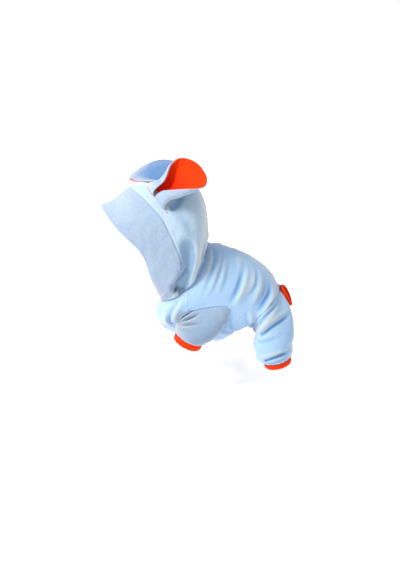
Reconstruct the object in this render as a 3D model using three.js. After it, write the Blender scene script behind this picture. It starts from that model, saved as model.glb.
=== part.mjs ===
// A hooded fleece jumpsuit for a small dog, filled out as if worn by a sitting dog.
// Millimetres, +Z up. The dog would face -X, and its left side is towards -Y.
// The origin is inside the back panel at the withers, where the garment is held up.
// Every panel is a thin wall of cloth. Neighbouring panels stop a seam gap apart.
import * as THREE from "three";

// Cloth, in millimetres.
const FLEECE = 2.2; // body, sleeves, trouser legs and hood crown
const BAND_CLOTH = 2.7; // the hood band is two layers turned together
const RIB = 2.4; // orange cuffs and the tail collar
const EAR_CLOTH = 1.8; // blue outer of an ear
const LINING = 1.3; // orange lining of an ear
const GAP = 0.3; // between pieces that are sewn together

// The tables below give heights above the ground under the dog. This moves them to the origin.
const WITHERS = new THREE.Vector3(45, 0, 244);

// Sections of the body from the neck seam to the hip seam. Each is a ring through a point on the
// back and a point under the belly. half is its half width, lag moves its sides towards the tail,
// and square is 2 for an ellipse, less for a keeled chest and more for a flat belly.
const BODY = table(
  "backX backZ lowX lowZ half lag square",
  [9, 251, -70, 152, 46, 12, 2.0],
  [29, 252, -80, 127, 56, 8, 1.9],
  [52, 245, -74, 101, 62, 4, 1.7],
  [74, 236, -45, 83, 64, 2, 1.6],
  [93, 226, -8, 78, 65, 0, 1.9],
  [111, 212, 30, 78, 65, -2, 2.5],
  [127, 194, 64, 92, 65, -6, 2.4],
  [139, 170, 92, 120, 66, -12, 2.2],
);

// Folds of the body, a row each: side is 1 for the left, -1 for the right and 0 for both. The fold
// runs from the angle "from" to the angle "to" round the section, and start, middle and end say
// which section it lies on at those angles and between them. height is negative for a trough.
const BODY_FOLDS = table(
  "side from to start middle end height width",
  [0, 12, 88, 0.75, 0.95, 1.5, 2.2, 0.16],
  [0, 8, 92, 1.45, 1.65, 2.0, 2.4, 0.16],
  [0, 10, 96, 2.1, 2.3, 2.7, 2.4, 0.17],
  [0, 6, 100, 3.1, 3.35, 3.6, 2.6, 0.2],
  [0, 8, 96, 3.9, 4.15, 4.1, 2.8, 0.18],
  [0, 10, 104, 4.6, 4.9, 5.0, 2.6, 0.18],
  [0, 6, 112, 5.3, 5.65, 6.1, 2.8, 0.2],
  [0, 14, 116, 6.1, 6.4, 6.8, 3.0, 0.18],
);

// The side seam and then the hem beside the belly opening: degrees round the section at a ring.
const SIDE_SEAM = table(
  "ring angle",
  [0, 80],
  [1.1, 90],
  [2.15, 106],
  [4.25, 95],
  [4.7, 107],
  [5.35, 119],
  [6.1, 114],
  [7, 119],
);

// The armhole parts the side seam: the angles of its upper and lower edge at rings along it.
const ARMHOLE = table(
  "ring up down",
  [2.15, 106, 106],
  [2.3, 101, 121],
  [2.75, 88, 134],
  [3.4, 79, 132],
  [4.05, 79, 112],
  [4.25, 95, 95],
);

// The chest panel stops at the belly opening: further back beside the seams than in the middle.
// Its rows are straight up to the ring curved and bend more and more from there.
const BELLY_END = { sides: 5.35, middle: 4.8, curved: 2.5 };

// Sections of the hood from the face edge to the neck seam, with the same columns. The last ring
// is the body's first. turn swings a section towards the dog's left, in degrees.
const HOOD = table(
  "backX backZ lowX lowZ half lag square turn",
  [-165, 331, -74, 168, 46, 17, 2.2, 8],
  [-144, 338, -75, 166, 54, 26, 2.2, 7],
  [-122, 355, -75, 164, 60, 38, 2.2, 6],
  [-93, 362, -75, 163, 64, 44, 2.2, 5],
  [-58, 366, -74, 161, 66, 40, 2.2, 4],
  [-26, 364, -74, 160, 66, 33, 2.2, 3],
  [-3, 351, -73, 158, 64, 27, 2.2, 2],
  [8, 328, -72, 156, 61, 23, 2.2, 1],
  [12.5, 297, -72, 155, 58, 19, 2.1, 0],
  [14.5, 268, -71, 153, 55, 16, 2.0, 0],
  [9, 251, -70, 152, 46, 12, 2.0, 0],
);
const HOOD_PIVOT_X = -20; // the hood's sections turn about this upright line
const HOOD_FOLDS = table(
  "side from to start middle end height width",
  [0, 40, 150, 5.2, 5.6, 6.6, -5.0, 1.2],
  [0, 106, 164, 4.4, 3.6, 2.4, -3.0, 1.0],
);
// The band's seam with the crown. Past its last angle the band takes the whole throat.
const BAND = table(
  "angle ring",
  [0, 2.3],
  [15, 2.65],
  [30, 2.95],
  [45, 3.1],
  [60, 2.95],
  [75, 2.8],
  [90, 2.9],
  [105, 3.4],
  [120, 4.6],
  [135, 6.8],
  [150, 9.3],
);

// Rings of a sleeve from the armhole to the cuff. merge is how much of the leg's own round ring
// has taken over from the armhole's shape, and drop is how far that shape has moved down the leg.
const SLEEVE_LEFT = table(
  "x y z fore side pitch merge drop",
  [-8, 66, 142, 42, 24, -18, 0, 0],
  [-9, 74, 132, 39, 24, -20, 0.45, 12],
  [-12, 77, 124, 34, 24, -24, 0.85, 22],
  [-15, 76, 117, 29, 24, -26, 1, 30],
  [-17, 73, 112, 25, 22, -26, 1, 36],
);
const SLEEVE_RIGHT = table(
  "x y z fore side pitch merge drop",
  [-14, 66, 138, 42, 24, -20, 0, 0],
  [-18, 74, 126, 38, 24, -24, 0.45, 12],
  [-25, 76, 116, 33, 24, -30, 0.85, 22],
  [-30, 74, 108, 28, 24, -32, 1, 30],
  [-34, 71, 102, 25, 22, -32, 1, 36],
);
// Rings of a trouser leg from the hip seam to the cuff.
const TROUSER = table(
  "x y z fore side pitch merge drop",
  [128, 42, 148, 40, 40, 20, 0, 0],
  [130, 48, 132, 37, 37, 18, 0.4, 12],
  [130, 53, 116, 35, 34, 16, 0.85, 28],
  [127, 58, 100, 36, 31, 14, 1, 42],
  [127, 62, 86, 33, 28, 15, 1, 52],
  [129, 64, 75, 32, 28, 15, 1, 60],
  [133, 66, 67, 24, 22, 15, 1, 66],
);
const CUFF = { front: 14, hind: 11, bulge: 0.6, grip: 0.4, sides: 20 };
const PUFF = 3; // how far a leg's cloth stands out just below its seam
const UNDERARM_FALL = 0.3; // the share of a ring's drop that the armhole's lower edge takes
const TROUSER_SHIFT_RIGHT = -12; // the right hind leg stands this much further forward

// The tail opening and the crotch, as points of the left half. The collar is this long, bulges
// and narrows a little, and starts this far out so that it clears the curved edge of the opening.
const TAIL = { angle: 14, sideX: 149, sideY: 18, sideZ: 154, lowX: 155, lowZ: 136 };
const COLLAR = { length: 7, start: 1.7, bulge: 0.6, mouth: 0.2 };
const CROTCH = { midX: 137, midZ: 113, frontX: 108, frontZ: 109 };

// Rings of an ear from the slit in the hood to its tip: the floor of the fold, the direction
// across it, half its opening across, its depth, and how far it curls round, in degrees.
const EAR_LEFT = table(
  "x y z acrossX acrossY acrossZ half depth curl",
  [-76, 34, 350, 0.53, -0.7, -0.49, 22, 8, 158],
  [-46, 36, 363, 0.53, -0.7, -0.49, 23, 10, 152],
  [-23, 38, 382, 0.53, -0.62, -0.56, 31, 12, 138],
  [4, 38, 399, 0.54, -0.58, -0.62, 35, 14, 72],
);
const EAR_RIGHT = table(
  "x y z acrossX acrossY acrossZ half depth curl",
  [-80, 30, 355, 0.98, 0, 0.04, 34, 6, 100],
  [-81, 50, 364, 0.98, 0, 0.04, 40, 8, 80],
  [-75, 72, 372, 0.98, 0, 0.12, 41, 12, 72],
  [-67, 92, 375, 0.98, 0, 0.1, 38, 14, 58],
);
// Where an ear leaves the hood: its slit lies along this ring and is this deep in rings.
const SLIT = { ring: 3.6, angle: 21, reach: 12, depth: 0.28, clear: 1.4 };
// The shortest length of an ear's edge, how far its tip lies towards the outer rim, and the
// powers that round its outline.
const TIP_LEFT = { least: 0.16, skew: 0.06, side: 2.3, end: 2.2 };
const TIP_RIGHT = { least: 0.3, skew: -0.05, side: 2.5, end: 2.2 };

const BLUE = 0xa9cbef;
const ORANGE = 0xf9560c;

// A list of rows, each with the named columns.
function table(names, ...rows) {
  const keys = names.split(" ");
  return rows.map((row) => Object.fromEntries(keys.map((key, i) => [key, row[i]])));
}

// Every column at a fractional row, on a smooth curve through the rows.
function rowAt(rows, place) {
  const last = rows.length - 1;
  const p = THREE.MathUtils.clamp(place, 0, last);
  const i = Math.min(Math.floor(p), last - 1);
  const t = p - i;
  const near = [-1, 0, 1, 2].map((k) => rows[THREE.MathUtils.clamp(i + k, 0, last)]);
  const out = {};
  for (const key of Object.keys(rows[0])) {
    const [a, b, c, d] = near.map((row) => row[key]);
    const bend = (2 * a - 5 * b + 4 * c - d) * t * t + (3 * b - a - 3 * c + d) * t ** 3;
    out[key] = (2 * b + (c - a) * t + bend) / 2;
  }
  return out;
}

// The row at a value of a column that rises down the table.
function columnAt(rows, column, value) {
  const i = rows.findIndex((row) => row[column] >= value);
  if (i <= 0) return rows[i === 0 ? 0 : rows.length - 1];
  const from = rows[i - 1][column];
  return rowAt(rows, i - 1 + (value - from) / (rows[i][column] - from));
}

const vec = (x, y, z) => new THREE.Vector3(x, y, z);
const rad = THREE.MathUtils.degToRad;
const lerp = THREE.MathUtils.lerp;
const smoothstep = THREE.MathUtils.smoothstep;

// Even steps from one number to another, both ends included.
function span(from, to, steps) {
  return Array.from({ length: steps + 1 }, (_, i) => lerp(from, to, i / steps));
}

// How far the folds lift the cloth at a section and an angle, in degrees.
function foldHeight(folds, ring, degrees) {
  let lift = 0;
  for (const f of folds) {
    const angle = f.side === 0 ? Math.abs(degrees) : f.side * degrees;
    const t = (angle - f.from) / (f.to - f.from);
    if (t <= 0 || t >= 1) continue;
    const line = (1 - t) ** 2 * f.start + 2 * t * (1 - t) * f.middle + t * t * f.end;
    const across = (ring - line) / f.width;
    lift += f.height * Math.sin(Math.PI * t) ** 0.7 * Math.exp(-across * across);
  }
  return lift;
}

// A point of a section: 0 degrees is on the back, 90 on the left side and 180 under the belly.
function sectionPoint(rows, folds, ring, degrees) {
  const row = rowAt(rows, ring);
  const up = vec(row.backX - row.lowX, 0, row.backZ - row.lowZ);
  const reach = up.length() / 2;
  up.normalize();
  const toTail = vec(up.z, 0, -up.x);
  const c = Math.cos(rad(degrees));
  const s = Math.sin(rad(degrees));
  const power = 2 + (row.square - 2) * smoothstep(-c, -0.2, 0.8);
  const round = (Math.abs(c) / reach) ** power + (Math.abs(s) / row.half) ** power;
  const radius = round ** (-1 / power) + foldHeight(folds, ring, degrees);
  const point = vec((row.backX + row.lowX) / 2, 0, (row.backZ + row.lowZ) / 2)
    .addScaledVector(up, radius * c)
    .addScaledVector(toTail, row.lag * s * s);
  point.y -= radius * s;
  if (row.turn) {
    const angle = rad(row.turn);
    const x = point.x - HOOD_PIVOT_X;
    const y = point.y;
    point.x = HOOD_PIVOT_X + x * Math.cos(angle) - y * Math.sin(angle);
    point.y = x * Math.sin(angle) + y * Math.cos(angle);
  }
  return point;
}

// The outward normal there, from two short steps on the surface.
function sectionNormal(rows, folds, ring, degrees) {
  const step = 0.02;
  const along = sectionPoint(rows, folds, ring + step, degrees)
    .sub(sectionPoint(rows, folds, ring - step, degrees));
  const round = sectionPoint(rows, folds, ring, degrees + 1)
    .sub(sectionPoint(rows, folds, ring, degrees - 1));
  return along.cross(round).normalize().negate();
}

const bodyPoint = (ring, degrees) => sectionPoint(BODY, BODY_FOLDS, ring, degrees);
const bodyNormal = (ring, degrees) => sectionNormal(BODY, BODY_FOLDS, ring, degrees);
const hoodPoint = (ring, degrees) => sectionPoint(HOOD, HOOD_FOLDS, ring, degrees);
const hoodNormal = (ring, degrees) => sectionNormal(HOOD, HOOD_FOLDS, ring, degrees);

// Normals of a grid of points from its neighbours; closed rows wrap round. The grids of the right
// side run the other way round, and side -1 turns their normals outwards again.
function gridNormals(grid, closed, side) {
  const rows = grid.length;
  const columns = grid[0].length;
  return grid.map((row, i) =>
    row.map((_, j) => {
      const left = closed ? (j + columns - 1) % columns : Math.max(j - 1, 0);
      const right = closed ? (j + 1) % columns : Math.min(j + 1, columns - 1);
      const along = grid[Math.min(i + 1, rows - 1)][j].clone().sub(grid[Math.max(i - 1, 0)][j]);
      const round = row[right].clone().sub(row[left]);
      return along.cross(round).normalize().multiplyScalar(side);
    }),
  );
}

// Moves the edge points of a grid inwards over the cloth, square to the edge, by half a seam gap.
function parted(grid, normals, closed) {
  const last = grid.length - 1;
  const end = grid[0].length - 1;
  const left = (j) => (closed ? (j + end) % (end + 1) : Math.max(j - 1, 0));
  const right = (j) => (closed ? (j + 1) % (end + 1) : Math.min(j + 1, end));
  const move = (out, i, j, before, after, inner) => {
    const step = after.clone().sub(before).cross(normals[i][j]).normalize();
    const towards = step.dot(inner.clone().sub(grid[i][j])) < 0 ? -1 : 1;
    out[i][j].addScaledVector(step, (towards * GAP) / 2);
  };
  const out = grid.map((row) => row.map((p) => p.clone()));
  for (const [i, next] of [[0, 1], [last, last - 1]])
    grid[i].forEach((_, j) => move(out, i, j, grid[i][left(j)], grid[i][right(j)], grid[next][j]));
  if (closed) return out;
  for (const [j, next] of [[0, 1], [end, end - 1]])
    grid.forEach((row, i) => {
      const before = grid[Math.max(i - 1, 0)][j];
      const after = grid[Math.min(i + 1, last)][j];
      move(out, i, j, before, after, row[next]);
    });
  return out;
}

// A closed wall of cloth: the grid is its outside, and its inside lies a thickness behind.
function wall(grid, normals, thickness, closed) {
  const rows = grid.length;
  const columns = grid[0].length;
  const inside = grid.map((row, i) =>
    row.map((p, j) => p.clone().addScaledVector(normals[i][j], -thickness)),
  );
  const points = [...grid.flat(), ...inside.flat()];
  const at = (layer, i, j) => layer * rows * columns + i * columns + (j % columns);
  const faces = [];
  const quad = (a, b, c, d) => faces.push(a, b, c, a, c, d);
  const spans = closed ? columns : columns - 1;
  for (let i = 0; i < rows - 1; i++)
    for (let j = 0; j < spans; j++) {
      quad(at(0, i, j), at(0, i + 1, j), at(0, i + 1, j + 1), at(0, i, j + 1));
      quad(at(1, i, j), at(1, i, j + 1), at(1, i + 1, j + 1), at(1, i + 1, j));
    }
  for (let j = 0; j < spans; j++) {
    const end = rows - 1;
    quad(at(0, 0, j + 1), at(1, 0, j + 1), at(1, 0, j), at(0, 0, j));
    quad(at(0, end, j + 1), at(0, end, j), at(1, end, j), at(1, end, j + 1));
  }
  if (!closed)
    for (let i = 0; i < rows - 1; i++) {
      const end = columns - 1;
      quad(at(0, i + 1, 0), at(0, i, 0), at(1, i, 0), at(1, i + 1, 0));
      quad(at(0, i + 1, end), at(1, i + 1, end), at(1, i, end), at(0, i, end));
    }
  return solid(points, faces);
}

// The geometry of a closed body, turned so that its faces point outwards.
function solid(points, faces) {
  let volume = 0;
  const product = vec(0, 0, 0);
  for (let k = 0; k < faces.length; k += 3) {
    const [a, b, c] = [points[faces[k]], points[faces[k + 1]], points[faces[k + 2]]];
    volume += a.dot(product.crossVectors(b, c));
  }
  const index = volume > 0 ? faces : faces.slice().reverse();
  const geometry = new THREE.BufferGeometry();
  geometry.setFromPoints(points);
  geometry.setIndex(index);
  geometry.computeVertexNormals();
  return geometry;
}

const garment = new THREE.Group();
const cloth = {
  blue: new THREE.MeshStandardMaterial({ color: BLUE, roughness: 0.95, metalness: 0 }),
  orange: new THREE.MeshStandardMaterial({ color: ORANGE, roughness: 0.9, metalness: 0 }),
};

// One named sub-part in its own copy of the cloth's material.
function sew(name, geometry, material) {
  const mesh = new THREE.Mesh(geometry, material.clone());
  mesh.name = name;
  garment.add(mesh);
}

// The back and chest panels meet at the side seam and part from it round the armhole. panelEdge
// gives the angle of the back panel's edge, up, or of the chest panel's, down.
const ARM_FRONT = ARMHOLE[0].ring;
const ARM_REAR = ARMHOLE.at(-1).ring;
const seamAngle = (ring) => columnAt(SIDE_SEAM, "ring", ring).angle;
function panelEdge(ring, edge) {
  const inside = ring > ARM_FRONT && ring < ARM_REAR;
  return inside ? columnAt(ARMHOLE, "ring", ring)[edge] : seamAngle(ring);
}

// Ring places along the body: closer together towards the armhole's ends, which are rings too.
const ARMHOLE_STEPS = 10;
const ARMHOLE_RINGS = span(180, 0, ARMHOLE_STEPS).map(
  (turn) => lerp(ARM_FRONT, ARM_REAR, (1 + Math.cos(rad(turn))) / 2),
);
const FRONT_RINGS = span(0, ARM_FRONT, 8).slice(0, -1);
const REAR_RINGS = span(ARM_REAR, BELLY_END.sides, 5).slice(1);
const HIP_RINGS = span(BELLY_END.sides, BODY.length - 1, 8).slice(1);

// The back panel hangs over the back from one side seam to the other.
function backPanel() {
  const rings = [...FRONT_RINGS, ...ARMHOLE_RINGS, ...REAR_RINGS, ...HIP_RINGS];
  const places = rings.map((ring) => {
    const edge = panelEdge(ring, "up");
    return span(-edge, edge, 22).map((angle) => [ring, angle]);
  });
  const grid = places.map((row) => row.map(([ring, angle]) => bodyPoint(ring, angle)));
  const normals = places.map((row) => row.map(([ring, angle]) => bodyNormal(ring, angle)));
  return wall(parted(grid, normals, false), normals, FLEECE, false);
}

// The chest panel closes the body below, from the throat to the belly opening.
function chestPanel() {
  const rings = [...FRONT_RINGS, ...ARMHOLE_RINGS, ...REAR_RINGS].reverse();
  const places = rings.map((even) =>
    span(-1, 1, 12).map((across) => {
      const short = (BELLY_END.sides - BELLY_END.middle) * (1 - across * across);
      const bend = smoothstep(even, BELLY_END.curved, BELLY_END.sides);
      const ring = even * (1 - (short * bend) / BELLY_END.sides);
      const edge = panelEdge(ring, "down");
      return [ring, 180 + across * (180 - edge)];
    }),
  );
  const grid = places.map((row) => row.map(([ring, angle]) => bodyPoint(ring, angle)));
  const normals = places.map((row) => row.map(([ring, angle]) => bodyNormal(ring, angle)));
  return wall(parted(grid, normals, false), normals, FLEECE, false);
}

// The armhole's edge on the left (side 1) or right (side -1): along the back panel from front to
// rear, then back along the chest panel. round is the matching angle on the leg's ring, and fall
// is how much of a ring's drop the point takes.
function armholeEdge(side) {
  const upper = ARMHOLE_RINGS.map((ring, i) => ({
    ring,
    angle: panelEdge(ring, "up") * side,
    round: 180 + (180 * i) / ARMHOLE_STEPS,
    fall: 1,
  }));
  const lower = ARMHOLE_RINGS.map((ring, i) => ({
    ring,
    angle: panelEdge(ring, "down") * side,
    round: 540 - (180 * i) / ARMHOLE_STEPS,
    fall: UNDERARM_FALL,
  }));
  const edge = [...upper, ...lower.reverse().slice(1, -1)];
  return edge.map((place) => ({
    ...place,
    point: bodyPoint(place.ring, place.angle),
    normal: bodyNormal(place.ring, place.angle),
  }));
}

// A tube of cloth that starts as the opening's edge and becomes the leg's own rings.
function legRings(edge, rows, side, steps) {
  return span(0, rows.length - 1, steps).map((place) => {
    const row = rowAt(rows, place);
    const pitch = rad(row.pitch);
    const merge = THREE.MathUtils.clamp(row.merge, 0, 1);
    return edge.map(({ point, normal, round, fall }) => {
      const fore = row.fore * Math.cos(rad(round));
      const across = row.side * Math.sin(rad(round));
      const own = vec(
        row.x + fore * Math.cos(pitch),
        side * (across - row.y),
        row.z + fore * Math.sin(pitch),
      );
      const puff = PUFF * Math.min(1, fall / UNDERARM_FALL) * Math.sin(Math.PI * merge);
      const moved = point.clone().addScaledVector(normal, puff).add(vec(0, 0, -row.drop * fall));
      return moved.lerp(own, merge);
    });
  });
}

// The wall of a sleeve or trouser leg, which leaves its seam square to the body's cloth.
function legWall(edge, rows, side, steps) {
  const grid = legRings(edge, rows, side, steps);
  const normals = gridNormals(grid, true, side);
  normals[0] = edge.map(({ normal }) => normal);
  return wall(parted(grid, normals, true), normals, FLEECE, true);
}

// A cuff carries on from the last ring of a leg, along the leg's own axis.
function cuff(rows, side, length) {
  const row = rows.at(-1);
  const pitch = rad(row.pitch);
  const axis = vec(Math.sin(pitch), 0, -Math.cos(pitch));
  const rounds = span(0, 360, CUFF.sides).slice(0, -1);
  const grid = span(GAP, length, 2).map((down, i) => {
    const flare = [0, CUFF.bulge, -CUFF.grip][i];
    return rounds.map((round) => {
      const fore = (row.fore + flare) * Math.cos(rad(round));
      const across = (row.side + flare) * Math.sin(rad(round));
      return vec(
        row.x + fore * Math.cos(pitch),
        side * (across - row.y),
        row.z + fore * Math.sin(pitch),
      ).addScaledVector(axis, down);
    });
  });
  const normals = gridNormals(grid, true, side);
  return wall(grid, normals, RIB, true);
}

// A smooth open curve through a few points, as evenly spaced steps.
function curve(points, steps) {
  return new THREE.CatmullRomCurve3(points, false, "centripetal").getPoints(steps);
}

// One half of the tail opening's edge, from the hip seam round to the point below the tail.
function tailEdge(side, steps) {
  const top = bodyPoint(BODY.length - 1, side * TAIL.angle);
  return curve(
    [
      top,
      vec(lerp(top.x, TAIL.sideX, 0.5), -side * TAIL.sideY * 0.96, lerp(top.z, TAIL.sideZ, 0.45)),
      vec(TAIL.sideX, -side * TAIL.sideY, TAIL.sideZ),
      vec(TAIL.lowX, -side * TAIL.sideY * 0.62, lerp(TAIL.sideZ, TAIL.lowZ, 0.75)),
      vec(TAIL.lowX, -side * GAP, TAIL.lowZ),
    ],
    steps,
  );
}

// The edge that a trouser leg hangs from, in the same form as armholeEdge: up the hip seam from
// the groin, round the tail opening, down the crotch and back along the edge of the belly opening.
function trouserEdge(side) {
  const hip = BODY.length - 1;
  const groin = seamAngle(hip);
  const outer = span(groin, TAIL.angle, 12).map((angle, i) => ({
    point: bodyPoint(hip, side * angle),
    normal: bodyNormal(hip, side * angle),
    round: lerp(195, 350, i / 12),
    fall: smoothstep(12 - i, 0, 4),
  }));
  const tail = tailEdge(side, 4).slice(1);
  const rounds = [...span(350, 395, 4).slice(1), ...span(395, 480, 3).slice(1), 505, 530];
  const crotch = curve(
    [
      tail.at(-1),
      vec(CROTCH.midX, -side * GAP, CROTCH.midZ),
      vec(CROTCH.frontX, -side * GAP, CROTCH.frontZ),
    ],
    3,
  ).slice(1);
  const start = outer[0].point;
  const belly = curve(
    [
      crotch.at(-1),
      vec(lerp(CROTCH.frontX, start.x, 0.45), start.y * 0.6, lerp(CROTCH.frontZ, start.z, 0.4)),
      start,
    ],
    3,
  ).slice(1, -1);
  const inner = [...tail, ...crotch, ...belly];
  const centre = vec(126, -side * 30, 128);
  const rest = inner.map((point, i) => ({
    point,
    normal: point.clone().sub(centre).normalize(),
    round: rounds[i],
    fall: smoothstep(i, inner.length - 3, inner.length),
  }));
  return [...outer, ...rest];
}

const BAND_END = BAND.at(-1).angle;
const bandSeam = (degrees) => columnAt(BAND, "angle", Math.abs(degrees)).ring;

// A panel of the hood from its places, as rows of ring and angle.
function hoodPanel(places, thickness) {
  const grid = places.map((row) => row.map(([ring, angle]) => hoodPoint(ring, angle)));
  const normals = places.map((row) => row.map(([ring, angle]) => hoodNormal(ring, angle)));
  return wall(parted(grid, normals, false), normals, thickness, false);
}

// One half of the crown, between the band and the centre seam over the head.
function crown(side) {
  const places = span(0, 1, 14).map((down) =>
    span(Math.min(0, side * BAND_END), Math.max(0, side * BAND_END), 13).map((angle) => [
      lerp(bandSeam(angle), HOOD.length - 1, down),
      angle,
    ]),
  );
  return hoodPanel(places, FLEECE);
}

// The band runs from the throat over the head and back to the throat.
function band() {
  const end = HOOD.length - 1;
  const angles = [
    ...span(-180, -BAND_END - 3, 2),
    ...span(-BAND_END, BAND_END, 26),
    ...span(BAND_END + 3, 180, 2),
  ];
  const places = span(0, 1, 4).map((down) =>
    angles.map((angle) => [down * (Math.abs(angle) > BAND_END ? end : bandSeam(angle)), angle]),
  );
  return hoodPanel(places, BAND_CLOTH);
}

// A point of an ear: across runs from -1 to 1 between its rims, along from the slit to its tip.
// The slit end lies on the hood.
function earPoint(rows, side, across, along) {
  const place = along * (rows.length - 1);
  const row = rowAt(rows, place);
  const next = rowAt(rows, Math.min(place + 0.05, rows.length - 1));
  const before = rowAt(rows, Math.max(place - 0.05, 0));
  const axis = vec(next.x - before.x, before.y - next.y, next.z - before.z).normalize();
  const wide = vec(row.acrossX, row.acrossY, row.acrossZ).normalize();
  const open = wide.clone().cross(axis).normalize();
  const turn = rad(row.curl * across);
  const point = vec(row.x, -row.y, row.z)
    .addScaledVector(wide, row.half * Math.sin(turn))
    .addScaledVector(open, row.depth * (1 - Math.cos(turn)));
  point.y *= side;
  const ring = SLIT.ring + SLIT.depth * Math.cos(turn);
  const angle = side * (SLIT.angle + SLIT.reach * Math.sin(turn));
  const base = hoodPoint(ring, angle).addScaledVector(hoodNormal(ring, angle), SLIT.clear);
  return base.lerp(point, smoothstep(place, -0.05, 0.7));
}

// Rounded outline: how far along the ear's length its edge lies.
function earLength(tip, across) {
  const skewed = Math.abs(across - tip.skew * (1 - across * across));
  return lerp(tip.least, 1, Math.max(0, 1 - skewed ** tip.side) ** (1 / tip.end));
}

// Both layers of one ear. The lining lies inside the fold and leaves a blue rim.
function ear(rows, tip, side, name) {
  const ways = span(-90, 90, 14).map((turn) => Math.sin(rad(turn)));
  const middle = [0, 0.08, ...span(0.2, 0.97, 5), 1].map((down) =>
    ways.map((across) => earPoint(rows, side, across, lerp(0.02, earLength(tip, across), down))),
  );
  const normals = gridNormals(middle, false, side);
  const layer = (grid, facing, offset) =>
    grid.map((row, i) => row.map((p, j) => p.clone().addScaledVector(facing[i][j], offset)));
  const outer = layer(middle, normals, EAR_CLOTH / 2);
  sew(`ear_${name}_outer`, wall(outer, normals, EAR_CLOTH, false), cloth.blue);
  const inset = (grid) => grid.slice(1, -1).map((row) => row.slice(1, -1));
  const facing = inset(normals);
  const lining = layer(inset(middle), facing, -EAR_CLOTH / 2 - GAP);
  sew(`ear_${name}_lining`, wall(lining, facing, LINING, false), cloth.orange);
}

// The orange collar stands round the tail opening, just clear of the cloth.
function tailCollar() {
  const hip = BODY.length - 1;
  const left = tailEdge(1, 6);
  const right = tailEdge(-1, 6);
  const points = [bodyPoint(hip, 0), ...left.slice(0, -1), vec(TAIL.lowX, 0, TAIL.lowZ)];
  const loop = new THREE.CatmullRomCurve3([...points, ...right.slice(0, -1).reverse()], true)
    .getSpacedPoints(28)
    .slice(0, -1);
  const centre = loop.reduce((sum, p) => sum.add(p), vec(0, 0, 0)).divideScalar(loop.length);
  const out = vec(points[0].z - TAIL.lowZ, 0, TAIL.lowX - points[0].x).normalize();
  const grid = [0, 0.5, 1].map((up, i) =>
    loop.map((p) => {
      const radial = p.clone().sub(centre);
      const flare = [0, COLLAR.bulge, COLLAR.mouth][i];
      return p
        .clone()
        .addScaledVector(out, COLLAR.start + up * COLLAR.length)
        .addScaledVector(radial.normalize(), flare);
    }),
  );
  const normals = grid.map((row) =>
    row.map((p) => {
      const radial = p.clone().sub(centre);
      return radial.addScaledVector(out, -radial.dot(out)).normalize();
    }),
  );
  return wall(grid, normals, RIB, true);
}

sew("back_panel", backPanel(), cloth.blue);
sew("chest_panel", chestPanel(), cloth.blue);
sew("sleeve_left", legWall(armholeEdge(1), SLEEVE_LEFT, 1, 8), cloth.blue);
sew("sleeve_right", legWall(armholeEdge(-1), SLEEVE_RIGHT, -1, 8), cloth.blue);
sew("cuff_front_left", cuff(SLEEVE_LEFT, 1, CUFF.front), cloth.orange);
sew("cuff_front_right", cuff(SLEEVE_RIGHT, -1, CUFF.front), cloth.orange);

const TROUSER_RIGHT = TROUSER.map((row, i) => ({
  ...row,
  x: row.x + (TROUSER_SHIFT_RIGHT * i) / (TROUSER.length - 1),
}));
sew("trouser_left", legWall(trouserEdge(1), TROUSER, 1, 9), cloth.blue);
sew("trouser_right", legWall(trouserEdge(-1), TROUSER_RIGHT, -1, 10), cloth.blue);
sew("cuff_hind_left", cuff(TROUSER, 1, CUFF.hind), cloth.orange);
sew("cuff_hind_right", cuff(TROUSER_RIGHT, -1, CUFF.hind), cloth.orange);

sew("tail_collar", tailCollar(), cloth.orange);

sew("hood_band", band(), cloth.blue);
sew("hood_crown_left", crown(1), cloth.blue);
sew("hood_crown_right", crown(-1), cloth.blue);
ear(EAR_LEFT, TIP_LEFT, 1, "left");
ear(EAR_RIGHT, TIP_RIGHT, -1, "right");

garment.position.copy(WITHERS).negate();

export default garment;
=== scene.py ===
"""A hooded fleece pet jumpsuit, filled out as if worn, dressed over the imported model."""

import bpy
import numpy as np
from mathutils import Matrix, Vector


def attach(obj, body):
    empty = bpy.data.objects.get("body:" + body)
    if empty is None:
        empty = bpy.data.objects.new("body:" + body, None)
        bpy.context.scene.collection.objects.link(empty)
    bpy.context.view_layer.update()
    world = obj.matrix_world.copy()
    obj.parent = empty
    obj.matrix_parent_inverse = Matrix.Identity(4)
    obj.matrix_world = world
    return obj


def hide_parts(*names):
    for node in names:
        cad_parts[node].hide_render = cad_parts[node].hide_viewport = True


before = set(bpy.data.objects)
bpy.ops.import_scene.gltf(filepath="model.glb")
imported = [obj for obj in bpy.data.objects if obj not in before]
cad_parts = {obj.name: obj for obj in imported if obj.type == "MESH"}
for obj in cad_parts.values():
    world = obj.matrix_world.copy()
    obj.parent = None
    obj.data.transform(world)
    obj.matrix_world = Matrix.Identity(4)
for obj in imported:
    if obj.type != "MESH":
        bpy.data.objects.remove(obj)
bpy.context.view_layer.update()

# Camera, light and floor.
# The picture is taken from the garment's left, 25 degrees above it, in even white studio light.
# The origin is on the top of the back, and the floor is the ground that it stands 244 mm over.
AIM = Vector((-0.045, 0.0, -0.068))
DISTANCE = 1.5
ELEVATION = np.radians(25)

camera = bpy.data.objects.new("camera", bpy.data.cameras.new("camera"))
camera.data.lens = 54.13
camera.data.sensor_width = 36
camera.location = AIM + DISTANCE * Vector((0, -np.cos(ELEVATION), np.sin(ELEVATION)))
camera.rotation_euler = (AIM - camera.location).to_track_quat("-Z", "Y").to_euler()
bpy.context.scene.collection.objects.link(camera)
bpy.context.scene.camera = camera
bpy.context.scene.view_settings.view_transform = "Standard"


def linear(code):
    """An sRGB hex colour as linear red, green, blue and alpha."""
    parts = np.array([int(code[i : i + 2], 16) for i in (1, 3, 5)]) / 255
    curve = np.where(parts <= 0.04045, parts / 12.92, ((parts + 0.055) / 1.055) ** 2.4)
    return (*curve.tolist(), 1.0)


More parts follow.
